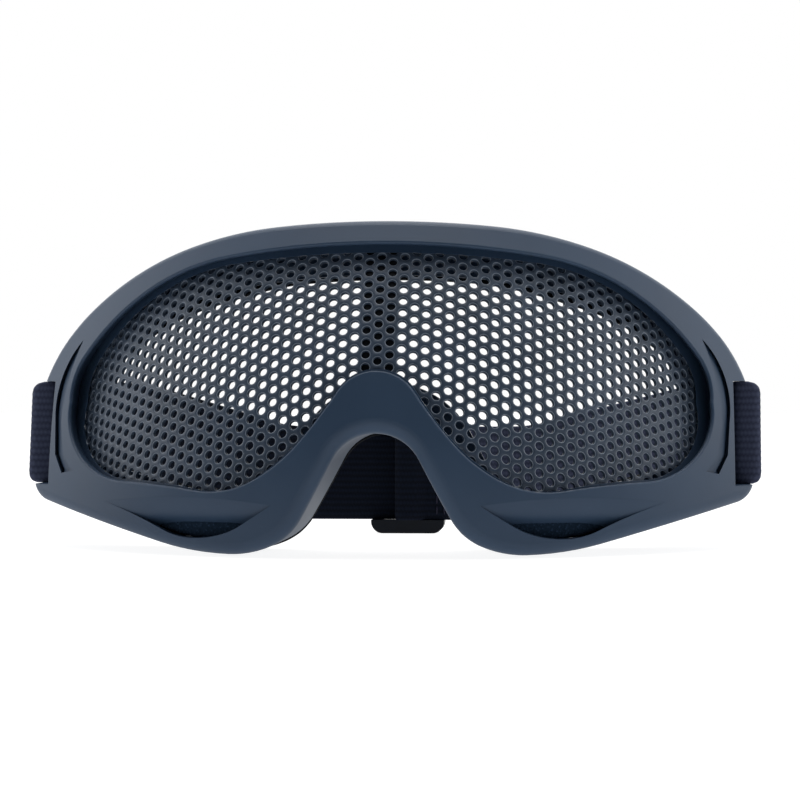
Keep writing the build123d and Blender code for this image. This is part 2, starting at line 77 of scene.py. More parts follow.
def linear(code: str) -> tuple[float, float, float, float]:
    """Colour for a shader socket.

    Args:
        code: sRGB colour as six hex digits.

    Returns:
        The colour in linear light, opaque.
    """
    parts = [int(code[i : i + 2], 16) / 255 for i in (0, 2, 4)]
    light = [c / 12.92 if c <= 0.04045 else ((c + 0.055) / 1.055) ** 2.4 for c in parts]
    return (light[0], light[1], light[2], 1.0)


class Body(Enum):
    """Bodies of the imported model."""

    GOGGLE = "goggle"
    REAR_BAND = "rear_band"
    SLIDER = "slider"


class Slot(Enum):
    """Material slots of the record."""

    MOULDING = "moulding"
    LENS_SHEET = "lens_sheet"
    RETAINER = "retainer"
    FOAM = "foam"
    WEBBING = "webbing"
    SLIDER = "slider"


class Tree:
    """Node tree of one material, with a node added in one line."""

    def __init__(self, name: str) -> None:
        """Start an empty material under the name of its finish."""
        self.material = bpy.data.materials.new(name)
        self.material.use_nodes = True
        self.nodes = self.material.node_tree.nodes
        self.links = self.material.node_tree.links
        self.nodes.clear()

    def add(self, kind: str, settings: dict | None = None, **inputs) -> Node:
        """Add a node with its settings and links.

        Args:
            kind: Blender's name of the node type.
            settings: Properties of the node.
            **inputs: Values or output sockets by input name, or by "i" and the input's number.

        Returns:
            The new node.
        """
        node = self.nodes.new(kind)
        for key, value in (settings or {}).items():
            setattr(node, key, value)
        for key, value in inputs.items():
            numbered = key[0] == "i" and key[1:].isdigit()
            socket = node.inputs[int(key[1:]) if numbered else key.replace("_", " ")]
            if isinstance(value, NodeSocket):
                self.links.new(value, socket)
            else:
                socket.default_value = value
        return node

    def maths(self, operation: str, first, second=0.0, clamp: bool = False) -> NodeSocket:
        """Result of one sum of values or sockets, held between 0 and 1 where it is clamped."""
        settings = {"operation": operation, "use_clamp": clamp}
        return self.add("ShaderNodeMath", settings, i0=first, i1=second).outputs[0]

    def scaled(self, value: NodeSocket, factor: float, offset: float) -> NodeSocket:
        """Value times a factor, plus an offset."""
        settings = {"operation": "MULTIPLY_ADD"}
        return self.add("ShaderNodeMath", settings, i0=value, i1=factor, i2=offset).outputs[0]

    def noise(self, size_mm: float, detail: float) -> NodeSocket:
        """Noise fixed to the object, by the size of its grains and its octaves."""
        where = self.add("ShaderNodeTexCoord").outputs["Object"]
        scale = 1 / (size_mm * MM)
        return self.add("ShaderNodeTexNoise", None, Vector=where, Scale=scale, Detail=detail).outputs["Fac"]

    def attribute(self, name: str) -> NodeSocket:
        """One of the mesh's own attributes, as a number."""
        return self.add("ShaderNodeAttribute", {"attribute_name": name}).outputs["Fac"]

    def tones(self, factor: NodeSocket, places: tuple, codes: tuple) -> NodeSocket:
        """Blend of two colours over a factor, with the places where each is pure."""
        node = self.add("ShaderNodeValToRGB", None, Fac=factor)
        for element, where, code in zip(node.color_ramp.elements, places, codes):
            element.position = where
            element.color = linear(code)
        return node.outputs["Color"]

    def mix(self, factor: NodeSocket, first, second) -> NodeSocket:
        """Mix of two colours, the first where the factor is 0."""
        return self.add("ShaderNodeMix", {"data_type": "RGBA"}, i0=factor, i6=first, i7=second).outputs[2]

    def bump(self, height: NodeSocket, relief: tuple[float, float]) -> NodeSocket:
        """Normal over a relief, given by its strength and its depth in millimetres."""
        strength, depth = relief
        made = self.add("ShaderNodeBump", None, Height=height, Strength=strength, Distance=depth * MM)
        return made.outputs["Normal"]

    def surface(self, colour, roughness, normal: NodeSocket, **values) -> Material:
        """Finish the material with one principled shader, whose other sockets take the named values."""
        settings = {"Base_Color": colour, "Roughness": roughness, "Normal": normal, **values}
        return self.finish(self.add("ShaderNodeBsdfPrincipled", None, **settings).outputs["BSDF"])

    def finish(self, shader: NodeSocket) -> Material:
        """Link the surface shader to the output and give the material."""
        self.add("ShaderNodeOutputMaterial", None, Surface=shader)
        return self.material


@dataclass(frozen=True)
class MouldedRubber:
    """Thermoplastic rubber from a fine spark-eroded mould: a satin skin with a soft grain."""

    colour: str = "2d4057"
    pale: str = "33475f"
    tone_places: tuple = (0.3, 0.75)
    roughness: float = 0.44
    mottle: float = 0.12
    grain_mm: float = 0.35
    cloud_mm: float = 22.0
    relief: tuple = (0.35, 0.02)
    ior: float = 1.5
    specular: float = 0.32

    def material(self) -> Material:
        """Build the material."""
        tree = Tree("moulded_rubber")
        cloud = tree.noise(self.cloud_mm, 3.0)
        grain = tree.noise(self.grain_mm, 2.0)
        tone = tree.tones(cloud, self.tone_places, (self.colour, self.pale))
        shine = tree.scaled(cloud, self.mottle, self.roughness)
        normal = tree.bump(grain, self.relief)
        return tree.surface(tone, shine, normal, IOR=self.ior, Specular_IOR_Level=self.specular)


@dataclass(frozen=True)
class PaintedSteel:
    """Perforated mild steel under satin blue-grey paint, with a painted highlight in light grey on the
    rolled rims of the holes.
    """

    colour: str = "333f4e"
    pale: str = "404d5f"
    # Light grey of the painted highlight on the hole rims.
    rim_highlight: str = "8792a1"
    tone_places: tuple = (0.3, 0.8)
    roughness: float = 0.42
    cloud_mm: float = 14.0
    peel_mm: float = 0.9
    relief: tuple = (0.3, 0.02)
    # Strength of the noise that breaks up the painted rim highlight, and the least of it.
    highlight_breakup: float = 1.2
    highlight_breakup_least: float = 0.1
    rim_inner_mm: float = 1.05
    rim_outer_mm: float = 1.24
    rim_fade_mm: float = 0.04
    ior: float = 1.5
    specular: float = 0.3

    def material(self) -> Material:
        """Build the material."""
        tree = Tree("painted_steel")
        cloud = tree.noise(self.cloud_mm, 4.0)
        peel = tree.noise(self.peel_mm, 3.0)
        tone = tree.tones(cloud, self.tone_places, (self.colour, self.pale))
        from_hole = tree.attribute("from_hole")
        rim = []
        for edge, sign in ((self.rim_inner_mm, 1), (self.rim_outer_mm, -1)):
            past = tree.maths("SUBTRACT", from_hole, edge * MM)
            rim.append(tree.maths("MULTIPLY", past, sign / (self.rim_fade_mm * MM), clamp=True))
        highlight_breakup = tree.scaled(peel, self.highlight_breakup, self.highlight_breakup_least)
        # The rim band takes the light grey: a painted highlight, broken up by the peel noise.
        bright = tree.maths("MULTIPLY", tree.maths("MULTIPLY", rim[0], rim[1]), highlight_breakup, clamp=True)
        mixed = tree.mix(bright, tone, linear(self.rim_highlight))
        normal = tree.bump(peel, self.relief)
        return tree.surface(mixed, self.roughness, normal, IOR=self.ior, Specular_IOR_Level=self.specular)


@dataclass(frozen=True)
class GrainedSkin:
    """Finish of a small part with one grain, which drives its tone, its relief and any mottle."""

    name: str
    colour: str
    pale: str
    tone_places: tuple
    roughness: float
    grain_mm: float
    detail: float
    relief: tuple
    specular: float
    mottle: float = 0.0

    def material(self) -> Material:
        """Build the material."""
        tree = Tree(self.name)
        grain = tree.noise(self.grain_mm, self.detail)
        tone = tree.tones(grain, self.tone_places, (self.colour, self.pale))
        shine = tree.scaled(grain, self.mottle, self.roughness) if self.mottle else self.roughness
        return tree.surface(tone, shine, tree.bump(grain, self.relief), **self.sockets())

    def sockets(self) -> dict[str, float]:
        """Values of the shader's other sockets."""
        return {"Specular_IOR_Level": self.specular}


@dataclass(frozen=True)
class MattePlastic(GrainedSkin):
    """Nylon retainer with a dull moulded surface."""

    name: str = "moulded_nylon"
    colour: str = "070a10"
    pale: str = "0e131b"
    tone_places: tuple = (0.2, 0.9)
    roughness: float = 0.6
    grain_mm: float = 0.5
    detail: float = 3.0
    relief: tuple = (0.4, 0.03)
    specular: float = 0.15


@dataclass(frozen=True)
class SewingThread(GrainedSkin):
    """Bonded nylon thread, a little glossier than the webbing."""

    name: str = "sewing_thread"
    colour: str = "1d1c2b"
    pale: str = "34344a"
    tone_places: tuple = (0.3, 0.8)
    roughness: float = 0.55
    grain_mm: float = 0.3
    detail: float = 2.0
    relief: tuple = (0.5, 0.05)
    specular: float = 0.2


@dataclass(frozen=True)
class MouldedAcetal(GrainedSkin):
    """Acetal slider, smooth from a polished mould, with faint rub marks."""

    name: str = "moulded_acetal"
    colour: str = "060c15"
    pale: str = "0c131e"
    tone_places: tuple = (0.3, 0.85)
    roughness: float = 0.24
    grain_mm: float = 2.5
    detail: float = 5.0
    relief: tuple = (0.2, 0.03)
    specular: float = 0.18
    mottle: float = 0.25
    ior: float = 1.48

    def sockets(self) -> dict[str, float]:
        """Values of the shader's other sockets."""
        return {"IOR": self.ior, "Specular_IOR_Level": self.specular}


@dataclass(frozen=True)
class OpenCellFoam:
    """Polyurethane foam, dyed navy black, with open pores, paler where its surface stands high and darker
    where it sinks.
    """

    colour: str = "05080e"
    pale: str = "121a27"
    tone_places: tuple = (0.35, 0.9)
    roughness: float = 0.95
    pore_mm: float = 0.8
    fine_mm: float = 0.3
    relief: tuple = (0.8, 0.25)
    specular: float = 0.05

    def material(self) -> Material:
        """Build the material."""
        tree = Tree("open_cell_foam")
        where = tree.add("ShaderNodeTexCoord").outputs["Object"]
        pores = tree.add("ShaderNodeTexVoronoi", None, Vector=where, Scale=1 / (self.pore_mm * MM))
        fine = tree.noise(self.fine_mm, 4.0)
        height = tree.maths("ADD", pores.outputs["Distance"], fine)
        # The tone follows the relief: paler on the high cells, darker in the sunken pores.
        tone = tree.tones(height, self.tone_places, (self.pale, self.colour))
        normal = tree.bump(tree.maths("MULTIPLY", height, -1.0), self.relief)
        return tree.surface(tone, self.roughness, normal, Specular_IOR_Level=self.specular)


@dataclass(frozen=True)
class WovenElastic:
    """Knitted elastic webbing: cords along it, crossed by fine picks, with painted shade in darker tones on
    its inner face.
    """

    colour: str = "2e3345"
    pale: str = "454b61"
    # Darker tones for the inner face: painted shade.
    inner: str = "080c15"
    inner_pale: str = "111827"
    tone_places: tuple = (0.15, 0.85)
    tone_gain: float = 0.2
    tone_middle: float = 0.4
    roughness: float = 0.85
    rib_mm: float = 1.56
    pick_mm: float = 0.9
    pick_share: float = 0.5
    fuzz_mm: float = 0.25
    rib_offset: float = 100.5
    relief: tuple = (0.4, 0.05)
    specular: float = 0.1

    def material(self) -> Material:
        """Build the material."""
        tree = Tree("woven_elastic")
        rib = tree.maths("DIVIDE", tree.attribute("across"), self.rib_mm * MM)
        # The offset keeps the count of ribs positive, so that every second one is odd on both halves.
        odd = tree.maths("MODULO", tree.maths("FLOOR", tree.maths("ADD", rib, self.rib_offset)), 2.0)
        pick = tree.maths("DIVIDE", tree.attribute("along"), self.pick_mm * MM)
        shifted = tree.maths("ADD", pick, tree.maths("MULTIPLY", odd, 0.5))
        wave = tree.maths("SINE", tree.maths("MULTIPLY", shifted, 2 * math.pi))
        cords = tree.maths("COSINE", tree.maths("MULTIPLY", rib, 2 * math.pi))
        height = tree.maths("ADD", tree.maths("MULTIPLY", wave, self.pick_share), cords)
        total = tree.maths("ADD", height, tree.noise(self.fuzz_mm, 3.0))
        level = tree.scaled(total, self.tone_gain, self.tone_middle)
        outer = tree.tones(level, self.tone_places, (self.colour, self.pale))
        inner = tree.tones(level, self.tone_places, (self.inner, self.inner_pale))
        # The inner face takes the darker tones: painted shade.
        tone = tree.mix(tree.attribute("inward"), outer, inner)
        normal = tree.bump(total, self.relief)
        return tree.surface(tone, self.roughness, normal, Specular_IOR_Level=self.specular)


def smooth_step(share: float) -> float:
    """Smooth rise from 0 at 0 to 1 at 1."""
    share = min(max(share, 0.0), 1.0)
    return share * share * (3 - 2 * share)


def new_piece(name: str, bm: BMesh, materials: list[Material]) -> Object:
    """Object at the origin that holds a finished bmesh.

    Args:
        name: Name of the piece.
        bm: Its geometry, in metres, which is freed.
        materials: Its materials, in the order of the faces' indices.

    Returns:
        The object.
    """
    mesh = bpy.data.meshes.new(name)
    bm.to_mesh(mesh)
    bm.free()
    for material in materials:
        mesh.materials.append(material)
    mesh.shade_smooth()
    piece = bpy.data.objects.new(name, mesh)
    bpy.context.scene.collection.objects.link(piece)
    return piece


def verts_of(items: list) -> list[BMVert]:
    """Vertices among the elements that an operator made."""
    return [item for item in items if isinstance(item, BMVert)]


def edges_among(items: list, verts: list[BMVert]) -> list[BMEdge]:
    """Edges among the elements that an operator made, with both ends in a set of vertices."""
    ends = set(verts)
    return [item for item in items if isinstance(item, BMEdge) and ends.issuperset(item.verts)]


def dress(name: str, material: Material) -> None:
    """Give a CAD node its finish, and leave its shape."""
    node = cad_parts[name]
    node.data.materials.clear()
    node.data.materials.append(material)
    LOG.info("dressed %s", name)


def apply_modifiers(piece: Object) -> None:
    """Put a piece's modifiers into its mesh."""
    evaluated = piece.evaluated_get(bpy.context.evaluated_depsgraph_get())
    mesh = bpy.data.meshes.new_from_object(evaluated)
    piece.modifiers.clear()
    piece.data = mesh


@dataclass
class FrameMoulding:
    """The soft moulding and the retainer, which are their CAD nodes under rubber and nylon finishes."""

    rubber: MouldedRubber = MouldedRubber()
    nylon: MattePlastic = MattePlastic()

    def build(self) -> None:
        """Dress the moulding and the retainer behind the lens."""
        dress("frame", self.rubber.material())
        dress("lens_retainer", self.nylon.material())


@dataclass
class LensDome:
    """Front surface of the lens as a formula over the front view, in millimetres."""

    foot_height: float = 13.75
    lean_radius: float = 77.0
    bow_radius: float = 71.6
    bow_height: float = 46.0
    tighten_share: float = 0.33
    wrap_depth: float = 4.05
    wrap_reach: float = 70.0
    wrap_grow: float = 0.03
    wrap_power: int = 6
    slope_step: float = 0.01

    def depth(self, x: np.ndarray, z: np.ndarray) -> np.ndarray:
        """Depth at places in the front view."""
        lean = (z - self.foot_height) ** 2 / (2 * self.lean_radius)
        bow = x**2 / (2 * (self.bow_radius - self.tighten_share * (z - self.bow_height)))
        wrap = self.wrap_depth + self.wrap_grow * (z - self.bow_height)
        return lean + bow + wrap * (x / self.wrap_reach) ** self.wrap_power

    def normals(self, x: np.ndarray, z: np.ndarray) -> np.ndarray:
        """Unit normals that point back through the sheet."""
        step = self.slope_step
        slope_x = (self.depth(x + step, z) - self.depth(x - step, z)) / (2 * step)
        slope_z = (self.depth(x, z + step) - self.depth(x, z - step)) / (2 * step)
        normals = np.stack([-slope_x, np.ones_like(slope_x), -slope_z], -1)
        return normals / np.linalg.norm(normals, axis=1)[:, None]


@dataclass
class LensOutline:
    """Edge of the lens opening in the front view: arcs, each tangent to the one before."""

    top_height: float = 73.2
    half_width: float = 78.4
    widest_height: float = 35.5
    nose_height: float = 43.1
    top_width: float = 1.9
    side_width: float = 3.4
    foot_width: float = 0.5
    overlap: float = 2.2
    arc_points: int = 24
    least_turn: float = 1e-6
    upper_shares: tuple = ((0.476, 0.928, 0.3), (0.774, 0.684, 0.6), (0.960, 0.305, 0.9))
    lower_shares: tuple = (
        (0.111, -0.382),
        (0.227, 1.197),
        (0.357, 2.289),
        (0.548, 2.658),
        (0.798, 2.421),
        (0.963, 1.513),
    )

    def arcs(self, corners: list[tuple[float, float]]) -> list[Vector]:
        """Points along a chain of tangent arcs that sets off level.

        Args:
            corners: The arcs' ends.

        Returns:
            Points in the front view.
        """
        points = [Vector(corners[0])]
        heading = Vector((1, 0))
        for start, end in zip(corners, corners[1:]):
            chord = Vector(end) - Vector(start)
            turn = 2 * heading.angle_signed(chord)
            first = Vector(start)
            side = Vector((heading.y, -heading.x))
            bent = abs(turn) > self.least_turn
            radius = chord.length / (2 * math.sin(turn / 2)) if bent else 0.0
            for step in range(1, self.arc_points + 1):
                angle = turn * step / self.arc_points
                if radius:
                    ahead = heading * (radius * math.sin(angle))
                    points.append(first + ahead + side * (radius * (1 - math.cos(angle))))
                else:
                    points.append(first + chord * (step / self.arc_points))
            heading = heading.copy()
            heading.rotate(Matrix.Rotation(-turn, 2))
        return points

    def opening(self) -> list[Vector]:
        """Closed outline of the opening, clockwise from its top."""
        height = self.top_height - self.widest_height
        upper = [(0.0, self.top_height - self.top_width)]
        for across, up, share in self.upper_shares:
            x = across * self.half_width - share * self.side_width
            upper.append((x, self.widest_height + up * height - (1 - share) * self.top_width))
        widest = (self.half_width - self.side_width, self.widest_height)
        rise = self.nose_height - self.widest_height
        lower = [(0.0, self.nose_height + self.foot_width)]
        for index, (across, down) in enumerate(self.lower_shares):
            share = index / len(self.lower_shares)
            x = across * self.half_width + (1 - share) * self.foot_width - share**3 * self.side_width
            lower.append((x, self.widest_height - down * rise + share * self.foot_width))
        right = self.arcs(upper + [widest]) + self.arcs(lower + [widest])[-2::-1]
        return right + [Vector((-p.x, p.y)) for p in right[-2:0:-1]]

    def border(self) -> np.ndarray:
        """Outline of the sheet, which reaches under the ring's lip."""
        points = np.array([tuple(p) for p in self.opening()])
        ahead = np.roll(points, -1, 0) - np.roll(points, 1, 0)
        ahead /= np.linalg.norm(ahead, axis=1)[:, None]
        return points + self.overlap * np.stack([-ahead[:, 1], ahead[:, 0]], -1)


@dataclass
class MeshLens:
    """Perforated steel sheet, punched flat with staggered holes and then pressed into a dome."""

    dome: LensDome
    outline: LensOutline
    paint: PaintedSteel = PaintedSteel()
    pitch: float = 3.2
    hole_radius: float = 1.0
    rim_width: float = 0.14
    rim_roll: float = 0.16
    thickness: float = 0.7
    seat_gap: float = 0.15
    crease_degrees: float = 65.0
    weld_share: float = 0.005
    weld_mm: float = 0.02
    sliver_mm: float = 0.01
    sides: int = 12
    corner_degrees: int = 60
    columns: int = 38
    rows: int = 17
    reference_height: float = 59.8
    fan_reach: float = 80.0
    fan_share: float = 0.42
    fan_drop: float = 1.75
    march_steps: int = 40
    survey: tuple = (-10, 120, 2601)

    def cell(self) -> BMesh:
        """One hexagon of the flat sheet with its hole and the rolled rim that punching leaves."""
        bm = bmesh.new()
        half = self.pitch / 2
        ring = bmesh.ops.create_circle(bm, cap_ends=False, segments=self.sides, radius=half)["verts"]
        corner = self.pitch / math.sqrt(3)
        for vert in ring:
            heading = math.degrees(math.atan2(vert.co.y, vert.co.x))
            if round(heading) % self.corner_degrees == 0:
                vert.co *= corner / vert.co.length
        edges = list(bm.edges)
        for radius, roll in ((self.hole_radius + self.rim_width, 0.0), (self.hole_radius, self.rim_roll)):
            grown = bmesh.ops.extrude_edge_only(bm, edges=edges)["geom"]
            verts = verts_of(grown)
            edges = edges_among(grown, verts)
            for vert in verts:
                flat = Vector((vert.co.x, vert.co.y, 0)).normalized() * radius
                vert.co = Vector((flat.x, flat.y, roll))
        from_hole = bm.verts.layers.float.new("from_hole")
        for vert in bm.verts:
            vert[from_hole] = math.hypot(vert.co.x, vert.co.y) * MM
        return bm

    def sheet(self) -> BMesh:
        """The flat punched sheet, row on row and column on column."""
        bm = self.cell()
        tile = list(bm.verts) + list(bm.edges) + list(bm.faces)
        column = list(tile)
        for row in range(-self.rows, self.rows + 1):
            if row:
                made = bmesh.ops.duplicate(bm, geom=tile)["geom"]
                bmesh.ops.translate(bm, verts=verts_of(made), vec=(0, row * self.pitch, 0))
                column += made
        across = self.pitch * math.sqrt(3) / 2
        for index in range(-self.columns, self.columns + 1):
            if index:
                made = bmesh.ops.duplicate(bm, geom=column)["geom"]
                shift = (index * across, (index % 2) * self.pitch / 2, 0)
                bmesh.ops.translate(bm, verts=verts_of(made), vec=shift)
        bmesh.ops.remove_doubles(bm, verts=bm.verts, dist=self.pitch * self.weld_share)
        return bm

    def press(self, u: np.ndarray, v: np.ndarray) -> tuple[np.ndarray, np.ndarray]:
        """Where places of the flat sheet come to lie on the dome.

        Args:
            u: Distances across the flat sheet.
            v: Distances up it from the reference hole.

        Returns:
            X and Z in the front view.
        """
        share = u / self.fan_reach
        v = v * (1 + self.fan_share * share**2) + self.fan_drop * share**4
        heights = np.linspace(*self.survey)
        depths = self.dome.depth(np.zeros_like(heights), heights)
        length = np.concatenate([[0], np.cumsum(np.hypot(np.diff(heights), np.diff(depths)))])
        length -= np.interp(self.reference_height, heights, length)
        z = np.interp(v, length, heights)
        points = np.stack([np.zeros_like(z), self.dome.depth(np.zeros_like(z), z), z], -1)
        heading = np.stack([np.sign(u), np.zeros_like(u), np.zeros_like(u)], -1)
        stride = (np.abs(u) / self.march_steps)[:, None]
        for _ in range(self.march_steps):
            points = points + heading * stride
            points[:, 1] = self.dome.depth(points[:, 0], points[:, 2])
            normals = self.dome.normals(points[:, 0], points[:, 2])
            heading = heading - (heading * normals).sum(1)[:, None] * normals
            heading /= np.maximum(np.linalg.norm(heading, axis=1), TINY)[:, None]
        return points[:, 0], points[:, 2]

    def trim(self, x: np.ndarray, z: np.ndarray) -> tuple[np.ndarray, np.ndarray, np.ndarray]:
        """Draw places outside the border in to it.

        Args:
            x: X in the front view.
            z: Z in the front view.

        Returns:
            The new X and Z, and how far each place was inside, negative outside.
        """
        border = self.outline.border()
        start, end = border, np.roll(border, -1, 0)
        along = end - start
        places = np.stack([x, z], -1)
        nearest = np.full(len(x), np.inf)
        foot = places.copy()
        inside = np.zeros(len(x), bool)
        for a, b, d in zip(start, end, along):
            share = np.clip(((places - a) @ d) / (d @ d), 0, 1)
            closest = a + share[:, None] * d
            far = np.linalg.norm(places - closest, axis=1)
            better = far < nearest
            nearest[better] = far[better]
            foot[better] = closest[better]
            crosses = (a[1] > z) != (b[1] > z)
            if crosses.any():
                where = a[0] + (z - a[1]) * d[0] / (d[1] if d[1] else TINY)
                inside ^= crosses & (x < where)
        out = ~inside
        places[out] = foot[out]
        return places[:, 0], places[:, 1], np.where(inside, nearest, -nearest)

    def thicken(self, bm: BMesh) -> None:
        """Give the sheet its thickness straight through, so that the punched walls stay square."""
        made = bmesh.ops.extrude_face_region(bm, geom=list(bm.faces), use_keep_orig=True)["geom"]
        rear = verts_of(made)
        places = np.array([tuple(vert.co) for vert in rear]) / MM
        back = self.dome.normals(places[:, 0], places[:, 2])
        for vert, direction in zip(rear, back):
            vert.co += Vector(direction) * self.thickness * MM
        bmesh.ops.recalc_face_normals(bm, faces=bm.faces)

    def build(self) -> None:
        """Make the sheet, press it, trim it and give it its thickness."""
        bm = self.sheet()
        flat = np.array([tuple(v.co) for v in bm.verts])
        x, z = self.press(flat[:, 0], flat[:, 1])
        x, z, depth_in = self.trim(x, z)
        back = self.dome.normals(x, z)
        depth = self.dome.depth(x, z)
        bm.verts.ensure_lookup_table()
        shift = flat[:, 2] + self.seat_gap
        for index, vert in enumerate(bm.verts):
            at = place(float(x[index]), float(depth[index]), float(z[index]))
            vert.co = at + Vector(back[index]) * float(shift[index]) * MM
        gone = [f for f in bm.faces if all(depth_in[v.index] < 0 for v in f.verts)]
        bmesh.ops.delete(bm, geom=gone, context="FACES")
        bmesh.ops.remove_doubles(bm, verts=bm.verts, dist=self.weld_mm * MM)
        bmesh.ops.dissolve_degenerate(bm, edges=bm.edges, dist=self.sliver_mm * MM)
        bmesh.ops.recalc_face_normals(bm, faces=bm.faces)
        front = [f for f in bm.faces if f.normal.y > 0]
        if len(front) > len(bm.faces) / 2:
            bmesh.ops.reverse_faces(bm, faces=bm.faces)
        self.thicken(bm)
        piece = new_piece("perforated_lens", bm, [self.paint.material()])
        piece.data.set_sharp_from_angle(angle=math.radians(self.crease_degrees))
        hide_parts("mesh_lens")
        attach(piece, Body.GOGGLE.value)
        LOG.info("mesh lens: %d faces", len(piece.data.polygons))


@dataclass
class FoamPieces:
    """Cushion round the face and the strips behind the vents, softened from their CAD solids."""

    foam: OpenCellFoam = OpenCellFoam()
    # The vent strips take a lighter copy of the same foam: painted light in place of the light that the
    # scoops keep off them.
    vent_foam: OpenCellFoam = OpenCellFoam(colour="1b2939", pale="33465e")
    voxel: float = 1.1
    squeeze: float = 0.6
    brow_height: float = 50.0
    cheek_height: float = 30.0
    brow_sag: float = 0.9
    temple_sag: float = 1.6
    cheek_swell: float = 2.5
    temple_start: float = 20.0
    temple_reach: float = 30.0
    facing: float = 0.3
    weld_mm: float = 0.002
    strip_voxel_share: float = 0.5
    smooth_factor: float = 0.5
    cushion_rounds: int = 12
    strip_rounds: int = 3

    def sag(self, bm: BMesh) -> None:
        """Let the pad bulge inwards: at the brow, more towards the temples, and under the eyes."""
        bm.normal_update()
        for vert in bm.verts:
            if vert.co.z < self.cheek_height * MM and vert.normal.z > self.facing:
                vert.co.z += self.cheek_swell * MM
            elif vert.co.z > self.brow_height * MM and vert.normal.z < -self.facing:
                outward = (abs(vert.co.x) / MM - self.temple_start) / self.temple_reach
                vert.co.z -= (self.brow_sag + self.temple_sag * smooth_step(outward)) * MM

    def build(self) -> None:
        """Make each foam piece."""
        pad, vent = self.foam.material(), self.vent_foam.material()
        for node, name in (
            ("face_foam", "face_cushion"),
            ("left_vent_foam", "left_vent_strip"),
            ("right_vent_foam", "right_vent_strip"),
            ("left_top_foam", "left_top_strip"),
            ("right_top_foam", "right_top_strip"),
        ):
            cushion = node == "face_foam"
            # The strips get the lighter copy of the foam, which is painted light.
            material = pad if cushion else vent
            bm = bmesh.new()
            bm.from_mesh(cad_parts[node].data)
            bmesh.ops.remove_doubles(bm, verts=bm.verts, dist=self.weld_mm * MM)
            if cushion:
                self.sag(bm)
            piece = new_piece(name, bm, [material])
            size = self.voxel if cushion else self.voxel * self.strip_voxel_share
            remesh = piece.modifiers.new("cells", "REMESH")
            remesh.mode = "VOXEL"
            remesh.voxel_size = size * MM
            smooth = piece.modifiers.new("soften", "SMOOTH")
            smooth.factor = self.smooth_factor
            smooth.iterations = self.cushion_rounds if cushion else self.strip_rounds
            if not cushion:
                fill = piece.modifiers.new("fill", "DISPLACE")
                fill.strength = self.squeeze * MM
                fill.mid_level = 0.0
            apply_modifiers(piece)
            piece.data.shade_smooth()
            piece.data.materials.clear()
            piece.data.materials.append(material)
            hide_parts(node)
            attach(piece, Body.GOGGLE.value)
            LOG.info("foam %s: %d faces", name, len(piece.data.polygons))


